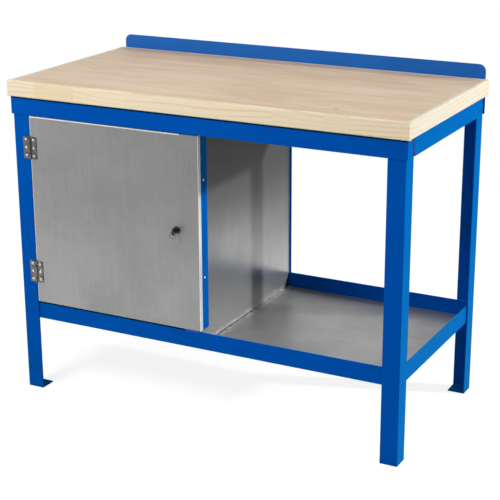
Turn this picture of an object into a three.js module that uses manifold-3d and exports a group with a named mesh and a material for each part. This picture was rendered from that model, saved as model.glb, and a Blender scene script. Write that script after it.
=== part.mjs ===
// Workbench: welded steel angle frame, timber top with a low steel upstand,
// galvanised lower shelf and a half-width galvanised cupboard with one hinged, locking door.
// Millimetres, +Z up, front towards -Y. The origin is on the floor at the middle of the bench's box.
import * as THREE from 'three';
import { mergeVertices } from 'three/addons/utils/BufferGeometryUtils.js';
import Module from 'manifold-3d';

const wasm = await Module();
wasm.setup();

// Fits
const fit = 0.3;
const turnGap = 0.25;

// Worktop
const topLength = 1200;
const topDepth = 600;
const topThickness = 45;
const faceThickness = 9;
const lippingWidth = 12;
const lippingRound = 4;

// Steel frame
const frameHeight = 880;
const frontOverhang = 6;
const sideOverhang = 6;
const backOverhang = 10;
const angleSize = 50;
const angleThickness = 4;
const lowerRailHeight = 223;
const footThickness = 4;

// Sheet metal
const sheet = 1.5;
const upstandRise = 40;
const upstandInset = 12;
const upstandThickness = 3;
const upstandCornerRadius = 20;
const panelFoldWidth = 20;
const panelCornerCut = 22;
const backPanelClearance = 1;

// Cupboard and door
const cabinetWidth = 594;
const doorHingeGap = 2;
const doorTopGap = 3;
const doorBottomGap = 4;
const doorStileGap = 2.5;
const doorReturnDepth = 13;
const doorNotchGap = 4;

// Hinges
const hingeLength = 64;
const hingeInset = 91;
const hingePinRadius = 1.5;
const hingeBarrelWall = 1.45;
const hingeLeafWidth = 22;
const hingeLeafThickness = 1.6;
const hingeKnuckles = 5;
const hingeKnuckleGap = 0.4;
const hingePinHeadRadius = 2.6;
const hingePinHeadHeight = 1.2;

// Fasteners
const screwHeadRadius = 3.6;
const screwHeadHeight = 1.3;
const screwShankRadius = 1.9;
const screwLength = 8;
const hingeScrewPitch = 23;
const hingeScrewInset = 9.5;
const upstandScrewLength = 14;
const upstandScrewEndInset = 63;
const upstandScrewCount = 3;
const upstandScrewDrop = 22;
const rivetHeadRadius = 3.5;
const rivetHeadHeight = 1.2;
const rivetShankRadius = 1.6;
const rivetTail = 2;
const rivetInset = 30;
const rivetRise = 150;
const rivetPitch = 277;

// Lock, key and ring
const lockRise = 283;
const lockStileGap = 2;
const plugWall = 1.9;
const lockBodyWall = 2.5;
const lockNutWall = 4;
const lockNutThickness = 4;
const lockRosetteLip = 2.2;
const lockRosetteThickness = 2.5;
const plugProud = 0.6;
const plugFloor = 4;
const plugTailSize = 6;
const camThickness = 2.5;
const camWidth = 14;
const camBite = 15;
const camStileGap = 1;
const camBendLength = 4;
const camScrewHeadRadius = 4.2;
const camScrewHeadHeight = 2;
const camScrewShankRadius = 1.5;
const keyThickness = 2;
const keyBladeHeight = 6.5;
const keyBladeLength = 15;
const keyCutDepth = 1.6;
const keyCutPitch = 3.5;
const keyCutCount = 3;
const keyNeckLength = 4;
const keyNeckHeight = 9;
const keyBowRadius = 11;
const keyHoleRadius = 2.6;
const keyHoleInset = 5.5;
const ringRadius = 9;
const ringWireRadius = 0.8;

// Facets of round pieces
const fineSides = 24;
const coarseSides = 12;
const nutSides = 6;
const notchSides = 4;
const wireSides = 6;
const lippingRoundSegments = 4;
const upstandCornerSegments = 8;

// Dome of a fastener's head: shares of its radius and height, from the crown to the rim
const domeProfile = [[0, 1], [0.55, 0.85], [0.9, 0.4], [1, 0]];

// Finishes
const finish = (color, roughness, metalness) =>
  new THREE.MeshStandardMaterial({ color, roughness, metalness, flatShading: true });
const bluePaint = finish(0x0a50b4, 0.45, 0.0);
const galvanised = finish(0x9b9b9b, 0.38, 0.9);
const pine = finish(0xf0dfbc, 0.6, 0.0);
const plyFace = finish(0xd2bba3, 0.55, 0.0);
const plyCore = finish(0xc9ab84, 0.7, 0.0);
const brightSteel = finish(0xb4b4b0, 0.3, 1.0);
const darkSteel = finish(0x4a4a4c, 0.35, 1.0);

// Planes of the frame: x from the bench's middle, y from the worktop's front edge.
// Each layer of angle nests one step inside the last.
const step = angleThickness + fit;
const frameRight = topLength / 2 - sideOverhang;
const frameLeft = -frameRight;
const frameFront = frontOverhang;
const frameBack = topDepth - backOverhang;
const legLeft = frameLeft + step;
const legRight = frameRight - step;
const legFront = frameFront + step;
const legBack = frameBack - step;
const lowerLeft = legLeft + step;
const lowerRight = legRight - step;
const lowerFront = legFront + step;
const lowerBack = legBack - step;
const underTopFlange = frameHeight - step;
const lowerRailTop = lowerRailHeight + angleSize;
const shelfBottom = lowerRailHeight + step;
const shelfTop = shelfBottom + sheet;
const topUnderside = frameHeight + fit;
const topSurface = topUnderside + topThickness;

// Planes of the cupboard
const stileRight = frameLeft + cabinetWidth;
const stileLeft = stileRight - angleSize;
const panelRight = stileRight - step;
const panelLeft = panelRight - sheet;
const doorLeft = legLeft + angleSize + doorHingeGap;
const doorRight = stileRight + doorStileGap + sheet;
const doorBottom = lowerRailTop + doorBottomGap;
const doorTop = frameHeight - angleSize - doorTopGap;
const doorFront = legFront;
const doorSheetBack = doorFront + sheet;

// Hinge axis
const hingeBoreRadius = hingePinRadius + turnGap;
const hingeBarrelRadius = hingeBoreRadius + hingeBarrelWall;
const leafBack = doorFront - fit;
const leafFront = leafBack - hingeLeafThickness;
const hingeX = doorLeft - doorHingeGap / 2;
const hingeY = leafBack - hingeBarrelRadius;
const hingeHeights = { lower: doorBottom + hingeInset, upper: doorTop - hingeInset };
const hingeScrewOffsets = [-hingeScrewPitch, 0, hingeScrewPitch];
const hingeScrewReach = hingeLeafWidth - hingeScrewInset;

// Lock axis
const keywayWidth = keyThickness + 2 * fit;
const keywayHeight = keyBladeHeight + 2 * fit;
const plugRadius = keywayHeight / 2 + plugWall;
const plugBoreRadius = plugRadius + turnGap;
const lockBodyRadius = plugBoreRadius + lockBodyWall;
const lockHoleRadius = lockBodyRadius + fit;
const lockNutRadius = lockHoleRadius + lockNutWall;
const lockRosetteRadius = lockBodyRadius + lockRosetteLip;
const lockX = stileLeft - lockStileGap - lockNutRadius;
const lockZ = doorBottom + lockRise;
const rosetteFront = leafBack - lockRosetteThickness;
const plugFront = rosetteFront - plugProud;
const keywayEnd = plugFront + keyBladeLength + fit;
const lockBodyBack = keywayEnd + plugFloor;
const camFront = lockBodyBack + fit;
const camBack = camFront + camThickness;
const camTipFront = lowerFront + angleThickness + camStileGap;
const camReach = stileLeft - lockX + camBite;
const camScrewLength = camThickness + plugFloor / 2;

// Key and ring
const keyShoulder = plugFront - fit;
const keyBowY = keyShoulder - keyNeckLength - keyBowRadius;
const keyFront = keyBowY - keyBowRadius;
const keyHoleY = keyFront + keyHoleInset;

// The bench's box, and the group that carries its pieces
const upstandFront = topDepth + fit;
const upstandBack = upstandFront + upstandThickness;
const boxBack = upstandBack + fit + screwHeadHeight;
const boxMiddleY = (keyFront + boxBack) / 2;
const bench = new THREE.Group();
bench.position.set(0, -boxMiddleY, 0);

// Geometry helpers

function toSolid(geometry) {
  const bare = geometry.clone();
  bare.deleteAttribute('normal');
  bare.deleteAttribute('uv');
  const merged = mergeVertices(bare, 1e-4);
  return new wasm.Manifold(new wasm.Mesh({
    numProp: 3,
    vertProperties: Float32Array.from(merged.attributes.position.array),
    triVerts: Uint32Array.from(merged.index.array),
  }));
}

function toGeometry(solid) {
  const mesh = solid.getMesh();
  const geometry = new THREE.BufferGeometry();
  geometry.setAttribute('position', new THREE.BufferAttribute(Float32Array.from(mesh.vertProperties), 3));
  geometry.setIndex(new THREE.BufferAttribute(Uint32Array.from(mesh.triVerts), 1));
  geometry.computeVertexNormals();
  return geometry;
}

function joined(geometries) {
  return geometries.map(toSolid).reduce((whole, piece) => whole.add(piece));
}

function cut(geometries, tools) {
  const whole = joined(geometries);
  return toGeometry(tools.map(toSolid).reduce((rest, tool) => rest.subtract(tool), whole));
}

// A block between two planes on each axis
function block(x0, x1, y0, y1, z0, z1) {
  const box = new THREE.BoxGeometry(x1 - x0, y1 - y0, z1 - z0);
  return box.translate((x0 + x1) / 2, (y0 + y1) / 2, (z0 + z1) / 2);
}

// Round bars along each axis, from one plane to another
function barAlongX(radius, x0, x1, y, z, sides) {
  const bar = new THREE.CylinderGeometry(radius, radius, x1 - x0, sides);
  return bar.rotateZ(-Math.PI / 2).translate((x0 + x1) / 2, y, z);
}

function barAlongY(radius, y0, y1, x, z, sides) {
  const bar = new THREE.CylinderGeometry(radius, radius, y1 - y0, sides);
  return bar.translate(x, (y0 + y1) / 2, z);
}

function barAlongZ(radius, z0, z1, x, y, sides) {
  const bar = new THREE.CylinderGeometry(radius, radius, z1 - z0, sides);
  return bar.rotateX(Math.PI / 2).translate(x, y, (z0 + z1) / 2);
}

// An equal angle section along +Z with its outer corner on the Z axis and flanges along +X and +Y
function angleSection(length) {
  const outline = new THREE.Shape();
  outline.moveTo(0, 0);
  outline.lineTo(angleSize, 0);
  outline.lineTo(angleSize, angleThickness);
  outline.lineTo(angleThickness, angleThickness);
  outline.lineTo(angleThickness, angleSize);
  outline.lineTo(0, angleSize);
  return new THREE.ExtrudeGeometry(outline, { depth: length, bevelEnabled: false });
}

// A domed screw or rivet along +Y: the head stands on the plane y = 0, towards -Y
function domedFastener(headRadius, headHeight, shankRadius, length) {
  const profile = [
    ...domeProfile.map(([across, up]) => new THREE.Vector2(headRadius * across, -headHeight * up)),
    new THREE.Vector2(shankRadius, 0),
    new THREE.Vector2(shankRadius, length),
    new THREE.Vector2(0, length),
  ];
  return new THREE.LatheGeometry(profile, coarseSides);
}

function addPart(group, name, geometry, material) {
  const mesh = new THREE.Mesh(geometry, material);
  mesh.name = name;
  group.add(mesh);
  return mesh;
}

// Lays an angle section with its outer corner on a point, and its flanges along two directions.
// The section runs along the cross product of the flanges.
function addAngle(group, name, geometry, flangeA, flangeB, corner) {
  const mesh = addPart(group, name, geometry, bluePaint);
  const along = new THREE.Vector3().crossVectors(flangeA, flangeB);
  const turn = new THREE.Matrix4().makeBasis(flangeA, flangeB, along);
  mesh.quaternion.setFromRotationMatrix(turn);
  mesh.position.copy(corner);
  return mesh;
}

const xAxis = new THREE.Vector3(1, 0, 0);
const yAxis = new THREE.Vector3(0, 1, 0);
const zAxis = new THREE.Vector3(0, 0, 1);
const backwards = (axis) => axis.clone().negate();

// Legs: angles with the outer corner at the bench's corner, each on a square foot plate.
// The front left leg is drilled for the hinge screws.
function buildLegs(group) {
  const legBottom = footThickness + fit;
  const legLength = underTopFlange - legBottom;
  const drills = [];
  for (const height of Object.values(hingeHeights)) {
    for (const offset of hingeScrewOffsets) {
      const x = hingeX - hingeScrewReach - legLeft;
      const z = height + offset - legBottom;
      drills.push(barAlongY(screwShankRadius + fit, -fit, angleThickness + fit, x, z, coarseSides));
    }
  }
  const legs = [
    ['leg_front_left', legLeft, legFront, xAxis, yAxis],
    ['leg_front_right', legRight, legFront, yAxis, backwards(xAxis)],
    ['leg_back_right', legRight, legBack, backwards(xAxis), backwards(yAxis)],
    ['leg_back_left', legLeft, legBack, backwards(yAxis), xAxis],
  ];
  for (const [name, x, y, flangeA, flangeB] of legs) {
    const plain = angleSection(legLength);
    const geometry = name === 'leg_front_left' ? cut([plain], drills) : plain;
    addAngle(group, name, geometry, flangeA, flangeB, new THREE.Vector3(x, y, legBottom));
    const inwardX = x < 0 ? angleSize : -angleSize;
    const inwardY = y === legFront ? angleSize : -angleSize;
    const footX = [x, x + inwardX].sort((a, b) => a - b);
    const footY = [y, y + inwardY].sort((a, b) => a - b);
    const plate = block(footX[0], footX[1], footY[0], footY[1], 0, footThickness);
    addPart(group, name.replace('leg', 'foot_plate'), plate, bluePaint);
  }
}

// Top rails: the front and back run the full length, the sides are cut square between them
function buildTopRails(group) {
  const length = frameRight - frameLeft;
  const sideStart = frameFront + angleSize + fit;
  const sideEnd = frameBack - angleSize - fit;
  const down = backwards(zAxis);
  addAngle(group, 'top_rail_front', angleSection(length), down, yAxis,
    new THREE.Vector3(frameLeft, frameFront, frameHeight));
  addAngle(group, 'top_rail_back', angleSection(length), down, backwards(yAxis),
    new THREE.Vector3(frameRight, frameBack, frameHeight));
  addAngle(group, 'top_rail_left', angleSection(sideEnd - sideStart), xAxis, down,
    new THREE.Vector3(frameLeft, sideStart, frameHeight));
  addAngle(group, 'top_rail_right', angleSection(sideEnd - sideStart), down, backwards(xAxis),
    new THREE.Vector3(frameRight, sideStart, frameHeight));
}

// Lower rails: inside the legs, with the flange that carries the shelf at the bottom.
// The side rails are coped over the flanges of the front and back ones.
function buildLowerRails(group) {
  const length = lowerRight - lowerLeft;
  addAngle(group, 'lower_rail_front', angleSection(length), yAxis, zAxis,
    new THREE.Vector3(lowerLeft, lowerFront, lowerRailHeight));
  addAngle(group, 'lower_rail_back', angleSection(length), backwards(yAxis), zAxis,
    new THREE.Vector3(lowerRight, lowerBack, lowerRailHeight));
  const sideLength = lowerBack - lowerFront - 2 * step;
  const cope = angleSize - angleThickness;
  const past = angleSize + fit;
  const copes = [
    block(-fit, past, -fit, step, -fit, cope),
    block(-fit, past, -fit, step, sideLength - cope, sideLength + fit),
  ];
  const coped = cut([angleSection(sideLength)], copes);
  addAngle(group, 'lower_rail_right', coped, backwards(xAxis), zAxis,
    new THREE.Vector3(lowerRight, lowerFront + step, lowerRailHeight));
  const copedLeft = cut([angleSection(sideLength)], [
    block(-fit, step, -fit, past, -fit, cope),
    block(-fit, step, -fit, past, sideLength - cope, sideLength + fit),
  ]);
  addAngle(group, 'lower_rail_left', copedLeft, zAxis, xAxis,
    new THREE.Vector3(lowerLeft, lowerFront + step, lowerRailHeight));
}

// Worktop: a ply face on a core board, edged with pine lippings whose outer arrises are rounded
function lippingOutline() {
  const outline = new THREE.Shape();
  outline.moveTo(lippingWidth, 0);
  outline.lineTo(lippingWidth, topThickness);
  outline.lineTo(lippingRound, topThickness);
  outline.absarc(lippingRound, topThickness - lippingRound, lippingRound, Math.PI / 2, Math.PI, false);
  outline.absarc(lippingRound, lippingRound, lippingRound, Math.PI, 1.5 * Math.PI, false);
  return outline;
}

function addLipping(group, name, length, inward, corner, drills) {
  const options = { depth: length, bevelEnabled: false, curveSegments: lippingRoundSegments };
  const plain = new THREE.ExtrudeGeometry(lippingOutline(), options);
  const along = new THREE.Vector3().crossVectors(inward, zAxis);
  const turn = new THREE.Matrix4().makeBasis(inward, zAxis, along).setPosition(corner);
  plain.applyMatrix4(turn);
  addPart(group, name, drills.length ? cut([plain], drills) : plain, pine);
}

function buildWorktop(group) {
  const left = -topLength / 2;
  const right = topLength / 2;
  const inner = lippingWidth + fit;
  const sideLength = topDepth - 2 * inner;
  const faceUnderside = topSurface - faceThickness;
  const drills = upstandScrewPlaces().map((x) =>
    barAlongY(screwShankRadius + fit, topDepth - lippingWidth - fit, topDepth + fit,
      x, topSurface - upstandScrewDrop, coarseSides));
  const board = (z0, z1) => block(left + inner, right - inner, inner, topDepth - inner, z0, z1);
  addPart(group, 'worktop_core', board(topUnderside, faceUnderside - fit), plyCore);
  addPart(group, 'worktop_face', board(faceUnderside, topSurface), plyFace);
  addLipping(group, 'lipping_front', topLength, yAxis, new THREE.Vector3(left, 0, topUnderside), []);
  addLipping(group, 'lipping_back', topLength, backwards(yAxis),
    new THREE.Vector3(right, topDepth, topUnderside), drills);
  addLipping(group, 'lipping_left', sideLength, xAxis,
    new THREE.Vector3(left, topDepth - inner, topUnderside), []);
  addLipping(group, 'lipping_right', sideLength, backwards(xAxis),
    new THREE.Vector3(right, inner, topUnderside), []);
}

// Upstand: a strip with rounded top corners, screwed to the back edge of the worktop
function upstandScrewPlaces() {
  const reach = topLength / 2 - upstandInset - upstandScrewEndInset;
  const pitch = 2 * reach / (upstandScrewCount - 1);
  return Array.from({ length: upstandScrewCount }, (_, index) => index * pitch - reach);
}

function buildUpstand(group) {
  const halfLength = topLength / 2 - upstandInset;
  const height = topThickness + upstandRise;
  const radius = upstandCornerRadius;
  const outline = new THREE.Shape();
  outline.moveTo(-halfLength, 0);
  outline.lineTo(halfLength, 0);
  outline.absarc(halfLength - radius, height - radius, radius, 0, Math.PI / 2, false);
  outline.absarc(radius - halfLength, height - radius, radius, Math.PI / 2, Math.PI, false);
  const strip = new THREE.ExtrudeGeometry(outline, {
    depth: upstandThickness, bevelEnabled: false, curveSegments: upstandCornerSegments,
  });
  strip.rotateX(Math.PI / 2).translate(0, upstandBack, topUnderside);
  const screwZ = topSurface - upstandScrewDrop;
  const places = upstandScrewPlaces();
  const drills = places.map((x) =>
    barAlongY(screwShankRadius + fit, upstandFront - fit, upstandBack + fit, x, screwZ, coarseSides));
  addPart(group, 'upstand', cut([strip], drills), bluePaint);
  places.forEach((x, index) => {
    const screw = domedFastener(screwHeadRadius, screwHeadHeight, screwShankRadius, upstandScrewLength);
    screw.rotateZ(Math.PI).translate(x, upstandBack + fit, screwZ);
    addPart(group, `upstand_screw_${index + 1}`, screw, brightSteel);
  });
}

// Lower shelf: one sheet lying on the flanges of the lower rails
function buildShelf(group) {
  addPart(group, 'lower_shelf',
    block(lowerLeft + step, lowerRight - step, lowerFront + step, lowerBack - step, shelfBottom, shelfTop),
    galvanised);
}

// Cupboard: a front stile, a right side panel riveted inside it, a rear stile behind the panel's fold,
// and left and back panels
function buildCupboard(group) {
  const stileBottom = lowerRailTop + fit;
  const rivetHeights = [stileBottom + rivetRise, stileBottom + rivetRise + rivetPitch];
  const rivetY = lowerFront + rivetInset;
  const rivetDrills = rivetHeights.map((z) =>
    barAlongX(rivetShankRadius + fit, panelLeft - fit, stileRight + fit, rivetY, z, coarseSides));

  const stile = angleSection(underTopFlange - stileBottom);
  stile.rotateZ(Math.PI / 2).translate(stileRight, lowerFront, stileBottom);
  addPart(group, 'cupboard_stile', cut([stile], rivetDrills), bluePaint);

  // The side panel clears the lower back rail with a slanted corner, and folds inwards at the back
  const panelFront = lowerFront + step;
  const panelBack = lowerBack;
  const railFace = lowerBack - angleThickness - fit;
  const outline = new THREE.Shape();
  outline.moveTo(panelFront, shelfTop + fit);
  outline.lineTo(railFace - panelCornerCut, shelfTop + fit);
  outline.lineTo(railFace, stileBottom);
  outline.lineTo(panelBack, stileBottom);
  outline.lineTo(panelBack, underTopFlange);
  outline.lineTo(panelFront, underTopFlange);
  const panel = new THREE.ExtrudeGeometry(outline, { depth: sheet, bevelEnabled: false });
  const standing = new THREE.Matrix4().makeBasis(yAxis, zAxis, xAxis).setPosition(panelLeft, 0, 0);
  panel.applyMatrix4(standing);
  const fold = block(panelRight - panelFoldWidth, panelRight, panelBack - sheet, panelBack,
    stileBottom, underTopFlange);
  addPart(group, 'cupboard_panel_right', cut([panel, fold], rivetDrills), galvanised);

  // The rear stile stands in the plane of the back legs, and its inner flange stops above the lower rail
  const rearStile = angleSection(underTopFlange - lowerRailHeight);
  const rearCope = block(angleThickness, angleSize + fit, -fit, angleSize + fit,
    -fit, stileBottom - lowerRailHeight);
  addAngle(group, 'cupboard_rear_stile', cut([rearStile], [rearCope]), backwards(yAxis), xAxis,
    new THREE.Vector3(stileLeft, legBack, lowerRailHeight));

  addPart(group, 'cupboard_panel_left',
    block(lowerLeft, lowerLeft + sheet, lowerFront, lowerBack, stileBottom, underTopFlange), galvanised);
  addPart(group, 'cupboard_panel_back',
    block(legLeft, stileRight, legBack + fit, legBack + fit + sheet,
      lowerRailHeight, frameHeight - angleSize - backPanelClearance), galvanised);

  rivetHeights.forEach((z, index) => {
    const length = fit + step + sheet + rivetTail;
    const rivet = domedFastener(rivetHeadRadius, rivetHeadHeight, rivetShankRadius, length);
    rivet.rotateZ(Math.PI / 2).translate(stileRight + fit, rivetY, z);
    addPart(group, `panel_rivet_${index + 1}`, rivet, brightSteel);
  });
}

// Door: a folded pan. Its top and bottom returns stop short of the stile, and its right return
// passes outside the stile.
function buildDoor(group) {
  const returnBack = doorFront + doorReturnDepth;
  const shortReturnEnd = stileLeft - doorNotchGap;
  const pan = [
    block(doorLeft, doorRight, doorFront, doorSheetBack, doorBottom, doorTop),
    block(doorLeft, doorLeft + sheet, doorFront, returnBack, doorBottom, doorTop),
    block(doorRight - sheet, doorRight, doorFront, returnBack, doorBottom, doorTop),
    block(doorLeft, shortReturnEnd, doorFront, returnBack, doorBottom, doorBottom + sheet),
    block(doorLeft, shortReturnEnd, doorFront, returnBack, doorTop - sheet, doorTop),
  ];
  const drills = [barAlongY(lockHoleRadius, doorFront - fit, doorSheetBack + fit, lockX, lockZ, fineSides)];
  for (const height of Object.values(hingeHeights)) {
    for (const offset of hingeScrewOffsets) {
      drills.push(barAlongY(screwShankRadius + fit, doorFront - fit, doorSheetBack + fit,
        hingeX + hingeScrewReach, height + offset, coarseSides));
    }
  }
  addPart(group, 'door_panel', cut(pan, drills), galvanised);
}

// Butt hinges: two leaves with interleaved knuckles on a headed pin, each leaf held by three screws.
// side is -1 for the leaf on the leg and 1 for the leaf on the door.
function hingeLeaf(height, side) {
  const bottom = height - hingeLength / 2;
  const pitch = hingeLength / hingeKnuckles;
  const plateEnd = hingeBarrelRadius + hingeKnuckleGap;
  const across = (near, far) => [hingeX + side * near, hingeX + side * far].sort((a, b) => a - b);
  const plate = across(plateEnd, hingeLeafWidth);
  const tab = across(0, plateEnd + fit);
  const pieces = [block(plate[0], plate[1], leafFront, leafBack, bottom, bottom + hingeLength)];
  for (let index = 0; index < hingeKnuckles; index += 1) {
    const onLeg = index % 2 === 0;
    if (onLeg === (side < 0)) {
      const z0 = bottom + index * pitch + hingeKnuckleGap / 2;
      const z1 = bottom + (index + 1) * pitch - hingeKnuckleGap / 2;
      pieces.push(block(tab[0], tab[1], leafFront, leafBack, z0, z1));
      pieces.push(barAlongZ(hingeBarrelRadius, z0, z1, hingeX, hingeY, fineSides));
    }
  }
  const top = bottom + hingeLength;
  const drills = [barAlongZ(hingeBoreRadius, bottom - fit, top + fit, hingeX, hingeY, fineSides)];
  for (const offset of hingeScrewOffsets) {
    drills.push(barAlongY(screwShankRadius + fit, leafFront - fit, leafBack + fit,
      hingeX + side * hingeScrewReach, height + offset, coarseSides));
  }
  return cut(pieces, drills);
}

function hingePin(height) {
  const reach = hingeLength / 2 + fit;
  const head = reach + hingePinHeadHeight;
  const pin = joined([
    barAlongZ(hingePinRadius, height - head, height + head, hingeX, hingeY, fineSides),
    barAlongZ(hingePinHeadRadius, height + reach, height + head, hingeX, hingeY, fineSides),
    barAlongZ(hingePinHeadRadius, height - head, height - reach, hingeX, hingeY, fineSides),
  ]);
  return toGeometry(pin);
}

function buildHinges(group) {
  for (const [place, height] of Object.entries(hingeHeights)) {
    addPart(group, `hinge_${place}_leg_leaf`, hingeLeaf(height, -1), brightSteel);
    addPart(group, `hinge_${place}_door_leaf`, hingeLeaf(height, 1), brightSteel);
    addPart(group, `hinge_${place}_pin`, hingePin(height), brightSteel);
    for (const [owner, side] of [['leg', -1], ['door', 1]]) {
      hingeScrewOffsets.forEach((offset, index) => {
        const screw = domedFastener(screwHeadRadius, screwHeadHeight, screwShankRadius, screwLength);
        screw.translate(hingeX + side * hingeScrewReach, leafFront - fit, height + offset);
        addPart(group, `hinge_${place}_${owner}_screw_${index + 1}`, screw, brightSteel);
      });
    }
  }
}

// Cam lock: a threaded body clamped to the door by a nut, a turning plug with a keyway,
// and a cranked cam on the plug's square tail that goes behind the stile when turned.
function buildLock(group) {
  const body = [
    barAlongY(lockRosetteRadius, rosetteFront, leafBack, lockX, lockZ, fineSides),
    barAlongY(lockBodyRadius, rosetteFront + fit, lockBodyBack, lockX, lockZ, fineSides),
  ];
  const bore = barAlongY(plugBoreRadius, plugFront - fit, lockBodyBack + fit, lockX, lockZ, fineSides);
  addPart(group, 'lock_body', cut(body, [bore]), brightSteel);

  const nutFront = doorSheetBack + fit;
  const nutBack = nutFront + lockNutThickness;
  const nut = barAlongY(lockNutRadius, nutFront, nutBack, lockX, lockZ, nutSides);
  const nutBore = barAlongY(lockHoleRadius, nutFront - fit, nutBack + fit, lockX, lockZ, fineSides);
  addPart(group, 'lock_nut', cut([nut], [nutBore]), brightSteel);

  const tail = plugTailSize / 2;
  const plug = [
    barAlongY(plugRadius, plugFront, lockBodyBack, lockX, lockZ, fineSides),
    block(lockX - tail, lockX + tail, lockBodyBack - fit, camBack, lockZ - tail, lockZ + tail),
  ];
  const keyway = block(lockX - keywayWidth / 2, lockX + keywayWidth / 2, plugFront - fit,
    keywayEnd, lockZ - keywayHeight / 2, lockZ + keywayHeight / 2);
  const screwSeat = camBack + fit;
  const screwDrill = barAlongY(camScrewShankRadius + fit, screwSeat - camScrewLength - fit, screwSeat + fit,
    lockX, lockZ, coarseSides);
  addPart(group, 'lock_plug', cut(plug, [keyway, screwDrill]), brightSteel);

  const hold = tail + fit;
  const crankStart = lockBodyRadius;
  const crankEnd = crankStart + camBendLength;
  const outline = new THREE.Shape();
  outline.moveTo(-camWidth / 2, camFront);
  outline.lineTo(crankStart, camFront);
  outline.lineTo(crankEnd, camTipFront);
  outline.lineTo(camReach, camTipFront);
  outline.lineTo(camReach, camTipFront + camThickness);
  outline.lineTo(crankEnd, camTipFront + camThickness);
  outline.lineTo(crankStart, camBack);
  outline.lineTo(-camWidth / 2, camBack);
  const cam = new THREE.ExtrudeGeometry(outline, { depth: camWidth, bevelEnabled: false });
  const upright = new THREE.Matrix4().makeBasis(zAxis, yAxis, backwards(xAxis));
  cam.applyMatrix4(upright.setPosition(lockX + camWidth / 2, 0, lockZ));
  const squareHole = block(lockX - hold, lockX + hold, camTipFront, camBack + fit,
    lockZ - hold, lockZ + hold);
  addPart(group, 'lock_cam', cut([cam], [squareHole]), brightSteel);

  const screw = domedFastener(camScrewHeadRadius, camScrewHeadHeight, camScrewShankRadius, camScrewLength);
  screw.rotateZ(Math.PI).translate(lockX, screwSeat, lockZ);
  addPart(group, 'cam_screw', screw, brightSteel);
}

// Key: a round bow with a hole, a neck and a blade with cuts along its upper edge
function buildKey(group) {
  const half = keyThickness / 2;
  const bladeTop = lockZ + keyBladeHeight / 2;
  const pieces = [
    barAlongX(keyBowRadius, lockX - half, lockX + half, keyBowY, lockZ, fineSides),
    block(lockX - half, lockX + half, keyBowY, keyShoulder,
      lockZ - keyNeckHeight / 2, lockZ + keyNeckHeight / 2),
    block(lockX - half, lockX + half, keyShoulder - fit, keyShoulder + keyBladeLength,
      lockZ - keyBladeHeight / 2, bladeTop),
  ];
  const left = lockX - keyThickness;
  const right = lockX + keyThickness;
  const tools = [barAlongX(keyHoleRadius, left, right, keyHoleY, lockZ, coarseSides)];
  for (let index = 0; index < keyCutCount; index += 1) {
    const y = keyShoulder + keyBladeLength - keyCutPitch * (index + 1);
    tools.push(barAlongX(keyCutDepth, left, right, y, bladeTop, notchSides));
  }
  addPart(group, 'key', cut(pieces, tools), darkSteel);
}

// Ring: a wire ring through the hole of the key's bow, hanging across the key
function buildRing(group) {
  const ring = new THREE.TorusGeometry(ringRadius, ringWireRadius, wireSides, fineSides);
  ring.rotateX(Math.PI / 2).translate(lockX, keyHoleY, lockZ - ringRadius);
  addPart(group, 'key_ring', ring, darkSteel);
}

const sections = [
  buildLegs, buildTopRails, buildLowerRails, buildWorktop, buildUpstand, buildShelf,
  buildCupboard, buildDoor, buildHinges, buildLock, buildKey, buildRing,
];
for (const build of sections) {
  const section = new THREE.Group();
  build(section);
  bench.add(section);
}

export default bench;
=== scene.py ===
"""Looks of the workbench: finishes, rounded edges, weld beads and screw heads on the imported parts."""
import math

import bmesh
import bpy
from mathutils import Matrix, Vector, noise


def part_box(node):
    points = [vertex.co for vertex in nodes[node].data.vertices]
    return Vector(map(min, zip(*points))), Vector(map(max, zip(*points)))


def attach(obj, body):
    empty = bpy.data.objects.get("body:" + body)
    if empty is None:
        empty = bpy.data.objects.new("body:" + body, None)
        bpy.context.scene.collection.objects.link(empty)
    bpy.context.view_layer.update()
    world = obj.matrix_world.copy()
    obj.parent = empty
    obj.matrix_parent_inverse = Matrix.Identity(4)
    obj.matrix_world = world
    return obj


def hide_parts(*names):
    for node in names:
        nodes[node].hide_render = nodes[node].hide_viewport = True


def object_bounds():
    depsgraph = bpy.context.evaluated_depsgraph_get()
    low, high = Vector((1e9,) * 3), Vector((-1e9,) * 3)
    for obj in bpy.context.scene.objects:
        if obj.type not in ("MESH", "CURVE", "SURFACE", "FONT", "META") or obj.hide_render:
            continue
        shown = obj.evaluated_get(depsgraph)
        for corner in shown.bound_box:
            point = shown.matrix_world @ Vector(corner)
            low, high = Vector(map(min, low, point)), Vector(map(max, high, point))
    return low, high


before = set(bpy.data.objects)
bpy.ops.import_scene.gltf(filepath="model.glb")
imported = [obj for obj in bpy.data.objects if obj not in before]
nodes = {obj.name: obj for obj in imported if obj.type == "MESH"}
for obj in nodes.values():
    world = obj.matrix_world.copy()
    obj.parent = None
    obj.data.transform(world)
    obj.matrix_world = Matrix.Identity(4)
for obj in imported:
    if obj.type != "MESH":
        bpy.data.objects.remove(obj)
cad_low, cad_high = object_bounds()

# Camera: focal length, place and turns in degrees come from a fit to the photo's points
PHOTO_SIZE = 500
FOCAL_PIXELS = 1392.5
SENSOR_WIDTH = 36.0
CAMERA_PLACE = (1.7786, -3.3747, 1.6846)
CAMERA_TURN = (71.787, 0.265, 27.573)
CAMERA_REACH = 100.0

# Studio floor and surroundings
FLOOR_SIZE = 30.0
FLOOR_DIFFUSE = 0.3
FLOOR_GLOW = 0.83
FLOOR_BOUNCE = 0.6
FLOOR_FADE = (1.3, 2.6)
AMBIENT = 0.22
BACKDROP = 1.0

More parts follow.
